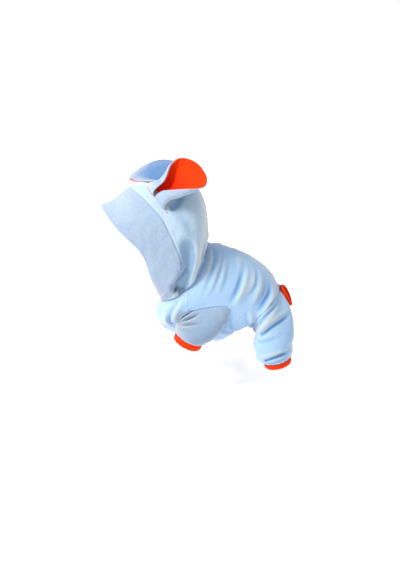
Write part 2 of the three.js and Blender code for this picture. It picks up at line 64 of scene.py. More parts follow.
def soft_light(name, place, size, watts, colour):
    """A square area light at a place in metres from the aim, turned towards the aim."""
    lamp = bpy.data.objects.new(name, bpy.data.lights.new(name, "AREA"))
    lamp.data.size = size
    lamp.data.energy = watts
    lamp.data.color = linear(colour)[:3]
    lamp.location = AIM + Vector(place)
    lamp.rotation_euler = (-Vector(place)).to_track_quat("-Z", "Y").to_euler()
    bpy.context.scene.collection.objects.link(lamp)


soft_light("key_softbox", (-0.9, -0.45, 1.15), 0.45, 33.0, "#fff6ea")
soft_light("rim_softbox", (0.9, 0.9, 1.0), 0.9, 5.0, "#f4f8ff")

world = bpy.data.worlds.new("white_studio")
world.use_nodes = True
world.node_tree.nodes["Background"].inputs["Color"].default_value = linear("#fffefb")
world.node_tree.nodes["Background"].inputs["Strength"].default_value = 0.72
bpy.context.scene.world = world


def add(tree, kind, inputs=None, **settings):
    """A new node with its settings; an input is a number, a colour or another node's output."""
    made = tree.nodes.new(kind)
    for name, value in settings.items():
        setattr(made, name, value)
    for socket, value in (inputs or {}).items():
        if isinstance(value, bpy.types.NodeSocket):
            tree.links.new(value, made.inputs[socket])
        else:
            made.inputs[socket].default_value = value
    return made


def new_material(name):
    """An empty node material and its tree."""
    material = bpy.data.materials.new(name)
    material.use_nodes = True
    material.node_tree.nodes.clear()
    return material, material.node_tree


floor_paper, tree = new_material("floor_paper")
coat = add(
    tree,
    "ShaderNodeBsdfPrincipled",
    {
        "Base Color": linear("#f4f4f5"),
        "Roughness": 1.0,
        "Specular IOR Level": 0.0,
        "Emission Color": linear("#ffffff"),
        "Emission Strength": 0.42,
    },
)
add(tree, "ShaderNodeOutputMaterial", {"Surface": coat.outputs[0]})
floor = bpy.data.objects.new("floor", bpy.data.meshes.new("floor"))
floor.data.from_pydata(
    [(x, y, -0.244) for x, y in ((-8, -8), (8, -8), (8, 8), (-8, 8))], [], [(0, 1, 2, 3)]
)
floor.data.materials.append(floor_paper)
bpy.context.scene.collection.objects.link(floor)

# Back and chest panels.
# Two panels of light blue anti-pill fleece close the body: the back panel hangs over the back to
# the side seams, and the chest panel closes it below, as far as the open belly.
# They are sewn face to face, so the cloth rolls into each seam and puckers beside it.

# The tables give millimetres, with heights above the ground. This is the origin in them.
WITHERS = np.array([45.0, 0.0, 244.0])
FLEECE = 2.2


def table(names, *rows):
    """Rows of numbers as named columns."""
    return dict(zip(names.split(), np.array(rows, float).T))


BODY = table(
    "backX backZ lowX lowZ half lag square",
    [9, 251, -70, 152, 46, 12, 2.0],
    [29, 252, -80, 127, 56, 8, 1.9],
    [52, 245, -74, 101, 62, 4, 1.7],
    [74, 236, -45, 83, 64, 2, 1.6],
    [93, 226, -8, 78, 65, 0, 1.9],
    [111, 212, 30, 78, 65, -2, 2.5],
    [127, 194, 64, 92, 65, -6, 2.4],
    [139, 170, 92, 120, 66, -12, 2.2],
)
SIDE_SEAM = table(
    "ring angle",
    [0, 80],
    [1.1, 90],
    [2.15, 106],
    [4.25, 95],
    [4.7, 107],
    [5.35, 119],
    [6.1, 114],
    [7, 119],
)
ARMHOLE = table(
    "ring up down",
    [2.15, 106, 106],
    [2.3, 101, 121],
    [2.75, 88, 134],
    [3.4, 79, 132],
    [4.05, 79, 112],
    [4.25, 95, 95],
)
ARM_FRONT, ARM_REAR = 2.15, 4.25
HIP_RING = 7.0
BELLY_END = {"sides": 5.35, "middle": 4.8, "curved": 2.5}


def at(rows, place):
    """Every column at fractional rows, on the Catmull-Rom curve through the rows."""
    last = len(next(iter(rows.values()))) - 1
    p = np.clip(place, 0, last)
    i = np.minimum(np.floor(p).astype(int), last - 1)
    t = p - i
    out = {}
    for name, column in rows.items():
        a, b, c, d = (column[np.clip(i + k, 0, last)] for k in (-1, 0, 1, 2))
        bend = (2 * a - 5 * b + 4 * c - d) * t**2 + (3 * b - a - 3 * c + d) * t**3
        out[name] = (2 * b + (c - a) * t + bend) / 2
    return out


def meeting(rows, column, value):
    """Every column where one rising column takes a value."""
    steps = np.arange(len(rows[column]))
    return at(rows, np.interp(value, rows[column], steps))


def smooth(value, low, high):
    """The smooth step from 0 at low to 1 at high, 3t^2 - 2t^3."""
    t = np.clip((value - low) / (high - low), 0, 1)
    return t * t * (3 - 2 * t)


def section(rows, ring, degrees):
    """A superellipse round the line from the back to the belly point of a ring.

    0 degrees is on the back, 90 on the left side and 180 below. Its power goes from 2 above to the
    ring's own below, its sides lag towards the tail, and a hood ring turns about an upright line.
    """
    row = at(rows, ring)
    up_x, up_z = row["backX"] - row["lowX"], row["backZ"] - row["lowZ"]
    reach = np.hypot(up_x, up_z) / 2
    up_x, up_z = up_x / (2 * reach), up_z / (2 * reach)
    c, s = np.cos(np.radians(degrees)), np.sin(np.radians(degrees))
    power = 2 + (row["square"] - 2) * smooth(-c, -0.2, 0.8)
    radius = ((abs(c) / reach) ** power + (abs(s) / row["half"]) ** power) ** (-1 / power)
    lag = row["lag"] * s * s
    x = (row["backX"] + row["lowX"]) / 2 + up_x * radius * c + up_z * lag
    z = (row["backZ"] + row["lowZ"]) / 2 + up_z * radius * c - up_x * lag
    y = -radius * s
    if "turn" in row:
        a = np.radians(row["turn"])
        x, y = (
            TURN_X + (x - TURN_X) * np.cos(a) - y * np.sin(a),
            (x - TURN_X) * np.sin(a) + y * np.cos(a),
        )
    return np.stack([x, y, z], -1)


def unit(vectors):
    """Vectors scaled to length 1."""
    return vectors / np.maximum(np.linalg.norm(vectors, axis=-1, keepdims=True), 1e-9)


def outward(rows, ring, degrees):
    """The outward normal of a section surface: the cross product of short steps round and along."""
    along = section(rows, ring + 0.02, degrees) - section(rows, ring - 0.02, degrees)
    around = section(rows, ring, degrees + 1) - section(rows, ring, degrees - 1)
    return -unit(np.cross(along, around))


def bezier(rows, steps):
    """Per row, a quadratic curve that passes its middle point half way: [rows, steps, 2]."""
    t = np.linspace(0, 1, steps)
    first, middle, last = (np.stack([rows[f"ring{k}"], rows[f"turn{k}"]], -1) for k in (0, 1, 2))
    pull = 2 * middle - (first + last) / 2
    weights = np.stack([(1 - t) ** 2, 2 * t * (1 - t), t**2])
    return np.einsum("kt,krc->rtc", weights, np.stack([first, pull, last]))


def crease_lift(points, normals, paths, rows):
    """How far creases lift the cloth at its points, in mm, for paths [creases, steps, 3].

    A crease is a ridge exp(-(d/w)^2) of the distance d to its path, wider on one side where it
    leans, with a trough at the foot of its steep side. It fades out towards its ends.
    """
    flat = points.reshape(-1, 3)
    facing = normals.reshape(-1, 3)
    lift = np.zeros(len(flat))
    for k, path in enumerate(paths):
        height, width, lean, dip = (rows[name][k] for name in ("height", "width", "lean", "dip"))
        low, high = path.min(0) - 4 * width, path.max(0) + 4 * width
        near = np.all((flat > low) & (flat < high), axis=1)
        if not near.any():
            continue
        gaps = flat[near, None, :] - path[None, :, :]
        distance = np.linalg.norm(gaps, axis=2)
        closest = distance.argmin(1)
        step = np.arange(len(closest))
        tangent = unit(np.gradient(path, axis=0))[closest]
        side = np.sign(np.einsum("ij,ij->i", np.cross(tangent, facing[near]), gaps[step, closest]))
        d = side * distance[step, closest]
        t = closest / (len(path) - 1)
        fade_in = smooth(t, 0, max(rows["fadeIn"][k], 0.01))
        fade_out = 1 - smooth(t, 1 - max(rows["fadeOut"][k], 0.01), 1)
        sided = width * np.where(d > 0, 1 + lean, 1 - lean)
        foot = d + np.sign(lean) * width * 1.5
        shape = np.exp(-((d / sided) ** 2)) - dip * np.exp(-((foot / (0.7 * width)) ** 2))
        lift[near] += height * fade_in * fade_out * shape
    return lift.reshape(points.shape[:-1])


def lumps(points, seed, reach=(14, 45)):
    """Slow unevenness of soft cloth: a sum of sine waves over the points, about 1 at most."""
    random = np.random.default_rng(seed)
    waves = unit(random.normal(size=(24, 3))) * (2 * np.pi / random.uniform(*reach, (24, 1)))
    return np.sin(points @ waves.T + random.uniform(0, 6.28, 24)).sum(-1) / 8


def mirrored(rows, seed):
    """The creases again on the right side, moved and scaled a little so that no two are alike."""
    random = np.random.default_rng(seed)
    copy = {name: column.copy() for name, column in rows.items()}
    count = len(rows["height"])
    moved = random.uniform(-0.16, 0.16, count)
    turned = random.uniform(-6, 6, (3, count))
    for k in (0, 1, 2):
        copy[f"ring{k}"] += moved + random.uniform(-0.05, 0.05, count)
        copy[f"turn{k}"] = -(copy[f"turn{k}"] + turned[k])
    copy["height"] *= random.uniform(0.75, 1.15, count)
    copy["width"] *= random.uniform(0.85, 1.25, count)
    copy["lean"] *= -1
    return {name: np.concatenate([rows[name], copy[name]]) for name in rows}


# Creases of the left side, from three places each: a section ring and an angle round it.
CREASE_COLUMNS = "ring0 turn0 ring1 turn1 ring2 turn2 height width lean dip fadeIn fadeOut"
BODY_CREASES = table(
    CREASE_COLUMNS,
    [0.06, 20, 0.12, 54, 0.55, 90, 1.9, 4.2, 0.2, 0.39, 0.3, 0.55],
    [0.3, 8, 0.95, 29, 2.05, 87, 3.1, 4.4, 0.3, 0.45, 0.5, 0.5],
    [0.95, 8, 1.75, 32, 2.45, 80, 2.9, 3.9, 0.25, 0.45, 0.5, 0.5],
    [1.4, 6, 2.35, 36, 2.85, 72, 2.4, 3.9, 0.2, 0.39, 0.5, 0.6],
    [2.35, 8, 2.9, 15, 3.5, 36, 2.4, 5.9, 0, 0, 0.5, 0.5],
    [3.25, 6, 4, 43, 4.1, 82, 3.5, 5.5, -0.45, 0.72, 0.5, 0.4],
    [3.8, 8, 4.5, 35, 4.3, 60, 2.6, 4.4, 0.2, 0.39, 0.5, 0.55],
    [4.5, 8, 5.2, 44, 5.05, 84, 3.1, 5.5, 0.2, 0.39, 0.5, 0.55],
    [5.65, 8, 6.6, 58, 6.62, 100, 3.8, 5.7, -0.45, 0.78, 0.5, 0.45],
    [6.1, 6, 6.75, 30, 6.95, 62, 2.1, 4.7, 0.2, 0.39, 0.5, 0.5],
    [5.2, 70, 5.9, 92, 6.5, 106, 2.1, 5.2, -0.2, 0.39, 0.4, 0.2],
    [4.35, 108, 4.9, 116, 5.5, 119, 1.2, 4.5, 0.2, 0.39, 0.4, 0.4],
    [1, 104, 1.45, 120, 2.1, 143, 2.6, 5.2, -0.3, 0.52, 0.35, 0.2],
    [1.3, 138, 1.75, 150, 2.6, 152, 2.6, 4.4, 0.3, 1, 0.3, 0.2],
    [0.6, 118, 1, 136, 1.6, 160, 1.9, 6.5, 0, 0.26, 0.4, 0.4],
    [4.2, 128, 4.8, 125, 5.5, 121, 1.6, 4.4, 0.3, 0.65, 0.4, 0.3],
    [2.9, 150, 3.5, 158, 4.2, 150, 1.4, 7.8, 0, 0.26, 0.4, 0.4],
)
BODY_CREASES = mirrored(BODY_CREASES, seed=3)


def on_surface(rows, creases, steps=60):
    """The creases' paths over a section surface, [creases, steps, 3]."""
    places = bezier(creases, steps)
    return section(rows, places[..., 0], places[..., 1])


BODY_PATHS = on_surface(BODY, BODY_CREASES)


def lengths(grid, axis):
    """How far each point of a grid lies from its first row or column, along the cloth."""
    steps = np.linalg.norm(np.diff(grid, axis=axis), axis=-1)
    start = np.zeros_like(np.take(steps, [0], axis=axis))
    return np.cumsum(np.concatenate([start, steps], axis=axis), axis=axis)


def border(grid, closed):
    """Distances to the first row, the last row and, on an open grid, its first and last column."""
    down = lengths(grid, 0)
    edges = {"first": down, "last": down[-1:] - down}
    if not closed:
        across = lengths(grid, 1)
        edges |= {"left": across, "right": across[:, -1:] - across}
    return edges


def seam_relief(distance, along, seed):
    """The hollow at a seam, the soft roll of its turned-in allowance and the puckers beside it."""
    random = np.random.default_rng(seed)
    beat = sum(
        np.sin(2 * np.pi * along / pitch + random.uniform(0, 6.28)) for pitch in (6.5, 9.3, 14.7)
    )
    roll = np.exp(-(((distance - 3.6) / 2.4) ** 2))
    hollow = np.exp(-((distance / 1.6) ** 2))
    return 0.45 * roll - 0.3 * hollow + 0.12 * beat * np.exp(-distance / 5)


def edged(fractions, length, radius):
    """Even fractions from 0 to 1 with three more close to each end, for a rounded edge.

    length is how far the cloth runs between its ends and radius the rounding's, in mm.
    """
    near = np.array([0.13, 0.45, 1.0]) * radius / length
    inner = fractions[(fractions > near[-1] * 1.2) & (fractions < 1 - near[-1] * 1.2)]
    return np.concatenate([[0], near, inner, 1 - near[::-1], [1]])


SEWN_DIP = 0.25


def build_cloth(name, outside, normals, thickness, closed, marks, sewn=()):
    """A closed cloth wall: the outer grid, and the same grid a thickness behind it.

    Within half a thickness of a free edge both walls curve to meet at mid thickness. At a sewn
    edge the outer wall curves in by only a quarter of that. marks are numbers for each grid point,
    which become point attributes on both walls.
    """
    rows, columns = outside.shape[:2]
    half = thickness / 2
    outer_dip = inner_dip = np.zeros((rows, columns))
    for edge, distance in border(outside, closed).items():
        rise = np.clip(distance / half, 0, 1)
        curl = half * (1 - np.sqrt(np.maximum(0, 1 - (1 - rise) ** 2)))
        inner_dip = np.maximum(inner_dip, curl)
        outer_dip = np.maximum(outer_dip, curl * (SEWN_DIP if edge in sewn else 1))
    outer = outside - normals * outer_dip[..., None]
    inner = outside - normals * (thickness - inner_dip)[..., None]
    points = np.concatenate([outer.reshape(-1, 3), inner.reshape(-1, 3)])
    points = (points - WITHERS) / 1000
    label = np.arange(rows * columns).reshape(rows, columns)
    behind = label + rows * columns
    behind[0], behind[-1] = label[0], label[-1]
    if closed:
        label = np.concatenate([label, label[:, :1]], 1)
        behind = np.concatenate([behind, behind[:, :1]], 1)
    else:
        behind[:, 0], behind[:, -1] = label[:, 0], label[:, -1]
    front = np.stack([label[:-1, :-1], label[1:, :-1], label[1:, 1:], label[:-1, 1:]], -1)
    back = np.stack([behind[:-1, :-1], behind[:-1, 1:], behind[1:, 1:], behind[1:, :-1]], -1)
    faces = np.concatenate([front.reshape(-1, 4), back.reshape(-1, 4)])
    a, b, c, d = (points[faces[:, k]] for k in range(4))
    if np.einsum("ij,ij->", a, np.cross(b, c) + np.cross(c, d)) < 0:
        faces = faces[:, ::-1]
    kept, position = np.unique(faces, return_inverse=True)
    mesh = bpy.data.meshes.new(name)
    mesh.from_pydata(points[kept].tolist(), [], position.reshape(-1, 4).tolist())
    mesh.shade_smooth()
    for mark, values in marks.items():
        both = np.concatenate([values.ravel(), values.ravel()])[kept]
        mesh.attributes.new(mark, "FLOAT", "POINT").data.foreach_set("value", both)
    piece = bpy.data.objects.new(name, mesh)
    bpy.context.scene.collection.objects.link(piece)
    return piece


def dress(piece, node, material):
    """The piece takes its material, rides on the body and stands for its node."""
    piece.data.materials.append(material)
    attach(piece, "root")
    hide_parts(node)


def body_cloth(name, ring, degrees, seams, seed):
    """A body panel over its grid of rings and angles, with creases, lumps and seam relief."""
    base = section(BODY, ring, degrees)
    normals = outward(BODY, ring, degrees)
    creased = crease_lift(base, normals, BODY_PATHS, BODY_CREASES)
    relief = 0.35 * lumps(base, seed)
    edges = border(base, False)
    down, across = lengths(base, 0), lengths(base, 1)
    for edge, sewn in seams.items():
        along = down if edge in ("left", "right") else across
        weight = sewn if isinstance(sewn, np.ndarray) else float(sewn)
        relief = relief + weight * seam_relief(edges[edge], along, seed + len(edge))
    outside = base + normals * (creased + relief)[..., None]
    return build_cloth(name, outside, normals, FLEECE, False, {"ridge": creased}, tuple(seams))


def panel_edge(ring, edge):
    """The angle of the back panel's edge, up, or the chest panel's, down, at a ring."""
    seam = meeting(SIDE_SEAM, "ring", ring)["angle"]
    arm = meeting(ARMHOLE, "ring", ring)[edge]
    return np.where((ring > ARM_FRONT) & (ring < ARM_REAR), arm, seam)


ARM_TURN = np.cos(np.radians(np.linspace(180, 0, 37)))
ARM_RINGS = ARM_FRONT + (ARM_REAR - ARM_FRONT) * (1 + ARM_TURN) / 2
FRONT_RINGS = edged(np.linspace(0, 1, 32), 46, FLEECE / 2)[:-4] * ARM_FRONT
REAR_RINGS = np.linspace(ARM_REAR, BELLY_END["sides"], 20)[1:]
HIP_RINGS = BELLY_END["sides"] + edged(np.linspace(0, 1, 32), 40, FLEECE / 2)[4:] * (
    HIP_RING - BELLY_END["sides"]
)
across = edged(np.linspace(0, 1, 170), 230, FLEECE / 2) * 2 - 1
rings = np.concatenate([FRONT_RINGS, ARM_RINGS, REAR_RINGS, HIP_RINGS])
ring, share = np.meshgrid(rings, across, indexing="ij")
back_panel = body_cloth(
    "back_panel_cloth",
    ring,
    share * panel_edge(ring, "up"),
    {"first": 1, "last": 1, "left": 1, "right": 1},
    seed=11,
)

rings = np.concatenate([FRONT_RINGS, ARM_RINGS, REAR_RINGS])
close = edged(np.linspace(0, 1, 20), 32, FLEECE / 2)[-4:-1]
rings = np.sort(np.concatenate([rings, ARM_REAR + close * (BELLY_END["sides"] - ARM_REAR)]))
across = edged(np.linspace(0, 1, 110), 150, FLEECE / 2) * 2 - 1
ring, share = np.meshgrid(rings, across, indexing="ij")
short = (BELLY_END["sides"] - BELLY_END["middle"]) * (1 - share**2)
bend = smooth(ring, BELLY_END["curved"], BELLY_END["sides"])
chest_panel = body_cloth(
    "chest_panel_cloth",
    ring * (1 - short * bend / BELLY_END["sides"]),
    180 + share * (180 - panel_edge(ring, "down")),
    {"first": 1, "left": 1, "right": 1},
    seed=12,
)


def fleece(name, middle, painted_shade, painted_highlight, mottle):
    """Anti-pill polyester fleece: matt, brushed to a short dense nap that curls into tiny tufts.

    Ridges are painted a light greige as a painted highlight, and hollows a darker blue as painted
    shade; the sheen turns the fuzz at grazing angles greige. The tufts of 1.6 mm and the mottling of
    4 mm are as coarse as they need to be to show.
    """
    material, tree = new_material(name)
    place = add(tree, "ShaderNodeTexCoord").outputs["Object"]
    ridge = add(tree, "ShaderNodeAttribute", attribute_name="ridge").outputs["Fac"]
    # Painted light: the crease height paints ridges a light greige as a painted highlight and
    # hollows a darker blue as painted shade.
    lift = add(tree, "ShaderNodeMapRange", {"Value": ridge, "From Min": 0.4, "From Max": 3.2})
    hollow = add(tree, "ShaderNodeMapRange", {"Value": ridge, "From Min": -0.1, "From Max": -2.0})
    tufts = add(
        tree,
        "ShaderNodeTexNoise",
        {"Vector": place, "Scale": 620.0, "Detail": 3.0, "Roughness": 0.65},
    )
    clouds = add(
        tree,
        "ShaderNodeTexNoise",
        {"Vector": place, "Scale": 240.0, "Detail": 2.0, "Roughness": 0.7},
    )
    base = add(
        tree,
        "ShaderNodeMix",
        {0: hollow.outputs[0], 6: linear(middle), 7: linear(painted_shade)},
        data_type="RGBA",
    )
    with_painted_highlight = add(
        tree,
        "ShaderNodeMix",
        {0: lift.outputs[0], 6: base.outputs[2], 7: linear(painted_highlight)},
        data_type="RGBA",
    )
    shade = add(
        tree,
        "ShaderNodeMapRange",
        {
            "Value": clouds.outputs["Fac"],
            "From Min": 0.3,
            "From Max": 0.7,
            "To Min": 1 - mottle,
            "To Max": 1 + mottle,
        },
    )
    fine = add(
        tree,
        "ShaderNodeMapRange",
        {
            "Value": tufts.outputs["Fac"],
            "From Min": 0.3,
            "From Max": 0.7,
            "To Min": 0.94,
            "To Max": 1.06,
        },
    )
    both = add(
        tree, "ShaderNodeMath", {0: shade.outputs[0], 1: fine.outputs[0]}, operation="MULTIPLY"
    )
    colour = add(
        tree,
        "ShaderNodeVectorMath",
        {0: with_painted_highlight.outputs[2], "Scale": both.outputs[0]},
        operation="SCALE",
    )
    height = add(
        tree,
        "ShaderNodeMath",
        {0: tufts.outputs["Fac"], 1: clouds.outputs["Fac"]},
        operation="ADD",
    )
    nap = add(
        tree,
        "ShaderNodeBump",
        {"Height": height.outputs[0], "Strength": 0.5, "Distance": 0.0009},
    )
    shader = add(
        tree,
        "ShaderNodeBsdfPrincipled",
        {
            "Base Color": colour.outputs[0],
            "Roughness": 0.95,
            "Specular IOR Level": 0.15,
            "Sheen Weight": 0.95,
            "Sheen Roughness": 0.4,
            "Sheen Tint": linear("#f0e2cf"),
            "Normal": nap.outputs[0],
        },
    )
    add(tree, "ShaderNodeOutputMaterial", {"Surface": shader.outputs[0]})
    return material


# Each fleece gives its middle blue, the darker blue painted into hollows as painted shade, the
# greige painted onto ridges as a painted highlight, and its mottling.
body_fleece = fleece("body_fleece", "#8fb0d4", "#6d98cc", "#a1b3c0", 0.03)
dress(back_panel, "back_panel", body_fleece)
dress(chest_panel, "chest_panel", body_fleece)

# Sleeves and front cuffs.
# Each sleeve is one fleece panel sewn into its armhole and closed along its underside. It hangs
# down and forward, gathered in folds from the front of the armhole to the cuff.
# The cuff is a doubled band of orange fleece, cut across the cloth so that it grips.
RIB = 2.4
PUFF = 3
UNDERARM_FALL = 0.3
ROW_STEP = 1.1
LEG_COLUMNS = "x y z fore side pitch merge drop"
SLEEVE_LEFT = table(
    LEG_COLUMNS,
    [-8, 66, 142, 42, 24, -18, 0, 0],
    [-9, 74, 132, 39, 24, -20, 0.45, 12],
    [-12, 77, 124, 34, 24, -24, 0.85, 22],
    [-15, 76, 117, 29, 24, -26, 1, 30],
    [-17, 73, 112, 25, 22, -26, 1, 36],
)
SLEEVE_RIGHT = table(
    LEG_COLUMNS,
    [-14, 66, 138, 42, 24, -20, 0, 0],
    [-18, 74, 126, 38, 24, -24, 0.45, 12],
    [-25, 76, 116, 33, 24, -30, 0.85, 22],
    [-30, 74, 108, 28, 24, -32, 1, 30],
    [-34, 71, 102, 25, 22, -32, 1, 36],
)
CUFF = {"front": 14, "hind": 11, "bulge": 0.6, "grip": 0.4, "start": 0.2}


def mix(a, b, t):
    """The value a share t of the way from a to b."""
    return a + (b - a) * t


def armhole_edge(side, steps):
    """The armhole's edge as a loop: points, normals, angles round the leg and shares of its drop."""
    turn = np.linspace(0, 1, steps + 1)
    ring = ARM_FRONT + (ARM_REAR - ARM_FRONT) * (1 - np.cos(np.pi * turn)) / 2
    rings = np.concatenate([ring, ring[-2:0:-1]])
    degrees = np.concatenate([panel_edge(ring, "up"), panel_edge(ring, "down")[-2:0:-1]]) * side
    around = np.concatenate([180 + 180 * turn, 540 - 180 * turn[-2:0:-1]])
    fall = np.where(np.arange(len(rings)) <= steps, 1.0, UNDERARM_FALL)
    return section(BODY, rings, degrees), outward(BODY, rings, degrees), around, fall


def leg_grid(edge, rows, side, place):
    """Rings of a leg: the seam's edge, puffed and dropped, turns into the leg's own ellipse.

    place is how far down the rows each ring lies; the ellipse is pitched about the cross axis.
    """
    points, normals, around, fall = edge
    row = {name: column[:, None] for name, column in at(rows, place).items()}
    pitch = np.radians(row["pitch"])
    fore = row["fore"] * np.cos(np.radians(around))
    across = row["side"] * np.sin(np.radians(around))
    own = np.stack(
        [
            row["x"] + fore * np.cos(pitch),
            side * (across - row["y"]),
            row["z"] + fore * np.sin(pitch),
        ],
        -1,
    )
    merge = np.clip(row["merge"], 0, 1)
    puff = PUFF * np.minimum(1, fall / UNDERARM_FALL) * np.sin(np.pi * merge)
    moved = points + normals * puff[..., None]
    moved[..., 2] -= row["drop"] * fall
    return moved + (own - moved) * merge[..., None]


def grid_normals(grid, closed, side):
    """Outward normals of a grid from its neighbours; the right side's grids run the other way."""
    along = np.gradient(grid, axis=0)
    if closed:
        around = np.roll(grid, -1, 1) - np.roll(grid, 1, 1)
    else:
        around = np.gradient(grid, axis=1)
    return side * unit(np.cross(along, around))


def tube_paths(grid, creases):
    """The creases' paths over a tube grid: ring is a share down it, turn a share round it."""
    places = bezier(creases, 60)
    rows, columns = grid.shape[:2]
    r = np.clip(places[..., 0], 0, 1) * (rows - 1)
    t = (places[..., 1] % 1) * columns
    i, j = np.minimum(r.astype(int), rows - 2), t.astype(int) % columns
    u, v = (r - i)[..., None], (t - t.astype(int))[..., None]
    k = (j + 1) % columns
    upper = grid[i, j] * (1 - v) + grid[i, k] * v
    lower = grid[i + 1, j] * (1 - v) + grid[i + 1, k] * v
    return upper * (1 - u) + lower * u


def leg_cloth(name, edge, rows, side, steps, creases, seed):
    """A sleeve or trouser leg with its creases, sewn into the seam above and the cuff below.

    The gathers are three sine waves round the leg that die out over 6 mm above the cuff. The
    cloth rolls out 4 mm above the cuff and sinks in at its seam.
    """
    place = edged(np.linspace(0, 1, steps), ROW_STEP * steps, FLEECE / 2) * (len(rows["x"]) - 1)
    base = leg_grid(edge, rows, side, place)
    normals = grid_normals(base, True, side)
    creased = crease_lift(base, normals, tube_paths(base, creases), creases)
    down = lengths(base, 0)
    around = lengths(base, 1)
    relief = 0.4 * lumps(base, seed)
    relief += seam_relief(down, around, seed + 1)
    to_cuff = down[-1:] - down
    gathers = sum(np.sin(2 * np.pi * around / p + seed + p) for p in (5.2, 8.1, 11.4))
    relief += 0.32 * gathers * np.exp(-to_cuff / 6) * smooth(to_cuff, 0, 2)
    relief += 1.0 * np.exp(-(((to_cuff - 4) / 3.2) ** 2)) - 0.7 * np.exp(-((to_cuff / 1.4) ** 2))
    outside = base + normals * (creased + relief)[..., None]
    marks = {"ridge": creased}
    return build_cloth(name, outside, normals, FLEECE, True, marks, ("first", "last"))


def cuff_cloth(name, rows, side, length):
    """A cuff: rings of the leg's last ellipse carried down its axis, bulging and then gripping."""
    row = {name: column[-1] for name, column in rows.items()}
    pitch = np.radians(row["pitch"])
    axis = np.array([np.sin(pitch), 0, -np.cos(pitch)])
    down = edged(np.linspace(0, 1, 16), length, RIB / 2)
    around = np.linspace(0, 2 * np.pi, 180, endpoint=False)
    flare = CUFF["bulge"] * np.sin(np.pi * down) - CUFF["grip"] * down**2
    fore = (row["fore"] + flare[:, None]) * np.cos(around)
    across = (row["side"] + flare[:, None]) * np.sin(around)
    base = np.stack(
        [
            row["x"] + fore * np.cos(pitch),
            side * (across - row["y"]),
            row["z"] + fore * np.sin(pitch),
        ],
        -1,
    )
    base = base + axis * mix(CUFF["start"], length, down)[:, None, None]
    normals = grid_normals(base, True, side)
    beat = np.sin(around * 17 + side) * 0.18 + np.sin(around * 26 + 2) * 0.12
    relief = beat * np.exp(-down * length / 4)[:, None] + 0.25 * lumps(base, 5, (8, 26))
    outside = base + normals * relief[..., None]
    course = np.broadcast_to(around[None, :] * (row["fore"] + row["side"]) / 2, relief.shape)
    return build_cloth(name, outside, normals, RIB, True, {"course": course})


SLEEVE_CREASES = table(
    CREASE_COLUMNS,
    [0.44, 0.0, 0.24, 0.045, 0.05, 0.12, 3.4, 3.0, 0.35, 1.0, 0.05, 0.35],
    [0.47, 0.02, 0.3, 0.1, 0.12, 0.2, 3.4, 3.2, 0.35, 1.0, 0.05, 0.4],
    [0.52, 0.03, 0.4, 0.14, 0.3, 0.27, 2.8, 3.6, 0.35, 0.9, 0.05, 0.6],
    [0.6, 0.04, 0.56, 0.16, 0.52, 0.28, 1.4, 4.0, 0.3, 0.6, 0.1, 0.6],
    [0.5, 0.97, 0.3, 0.97, 0.1, 0.99, 2.4, 3.0, 0.3, 0.6, 0.2, 0.4],
    [0.06, 0.18, 0.12, 0.32, 0.3, 0.42, 1.4, 5.0, 0.0, 0.2, 0.3, 0.5],
    [0.8, 0.1, 0.84, 0.25, 0.76, 0.42, 1.2, 5.0, 0.0, 0.3, 0.4, 0.5],
    [0.2, 0.5, 0.45, 0.46, 0.75, 0.43, 1.4, 6.0, 0.2, 0.3, 0.3, 0.4],
    [0.3, 0.62, 0.5, 0.66, 0.8, 0.64, 1.6, 5.0, -0.2, 0.3, 0.3, 0.4],
    [0.4, 0.8, 0.6, 0.82, 0.85, 0.8, 1.6, 4.5, 0.2, 0.3, 0.3, 0.4],
)

# Painted shade: the sleeves take a darker, greyer copy of the body fleece, for the shade they hang
# in below the body.
shaded_sleeve_fleece = fleece("shaded_sleeve_fleece", "#8098b6", "#59718f", "#9ca6ae", 0.03)

# Brushed polyester in a saturated orange, matt, its knit courses just showing. Far inside a fold
# it is painted redder: painted shade, with the light passed from cloth to cloth.
COURSE_PITCH = 1.3
orange_knit, tree = new_material("orange_fleece_band")
place = add(tree, "ShaderNodeTexCoord").outputs["Object"]
course = add(tree, "ShaderNodeAttribute", attribute_name="course").outputs["Fac"]
waves = add(tree, "ShaderNodeMath", {0: course, 1: 2 * np.pi / COURSE_PITCH}, operation="MULTIPLY")
knit = add(tree, "ShaderNodeMath", {0: waves.outputs[0]}, operation="SINE")
tufts = add(tree, "ShaderNodeTexNoise", {"Vector": place, "Scale": 700.0, "Detail": 3.0})
height = add(
    tree,
    "ShaderNodeMath",
    {0: knit.outputs[0], 1: 0.12, 2: tufts.outputs["Fac"]},
    operation="MULTIPLY_ADD",
)
nap = add(
    tree,
    "ShaderNodeBump",
    {"Height": height.outputs[0], "Strength": 0.45, "Distance": 0.0008},
)
tone = add(
    tree,
    "ShaderNodeMapRange",
    {"Value": tufts.outputs["Fac"], "From Min": 0.3, "From Max": 0.7},
)
colour = add(
    tree,
    "ShaderNodeMix",
    {0: tone.outputs[0], 6: linear("#cd2900"), 7: linear("#e43700")},
    data_type="RGBA",
)
# Painted shade and bounced light: the fold mark paints the orange redder far inside an ear's fold.
fold = add(tree, "ShaderNodeAttribute", attribute_name="fold").outputs["Fac"]
painted_fold_redness = add(
    tree,
    "ShaderNodeMix",
    {0: fold, 6: colour.outputs[2], 7: linear("#d81800")},
    data_type="RGBA",
)
shader = add(
    tree,
    "ShaderNodeBsdfPrincipled",
    {
        "Base Color": painted_fold_redness.outputs[2],
        "Roughness": 0.9,
        "Specular IOR Level": 0.15,
        "Sheen Weight": 0.12,
        "Sheen Roughness": 0.5,
        "Sheen Tint": linear("#ffb08a"),
        "Normal": nap.outputs[0],
    },
)
add(tree, "ShaderNodeOutputMaterial", {"Surface": shader.outputs[0]})

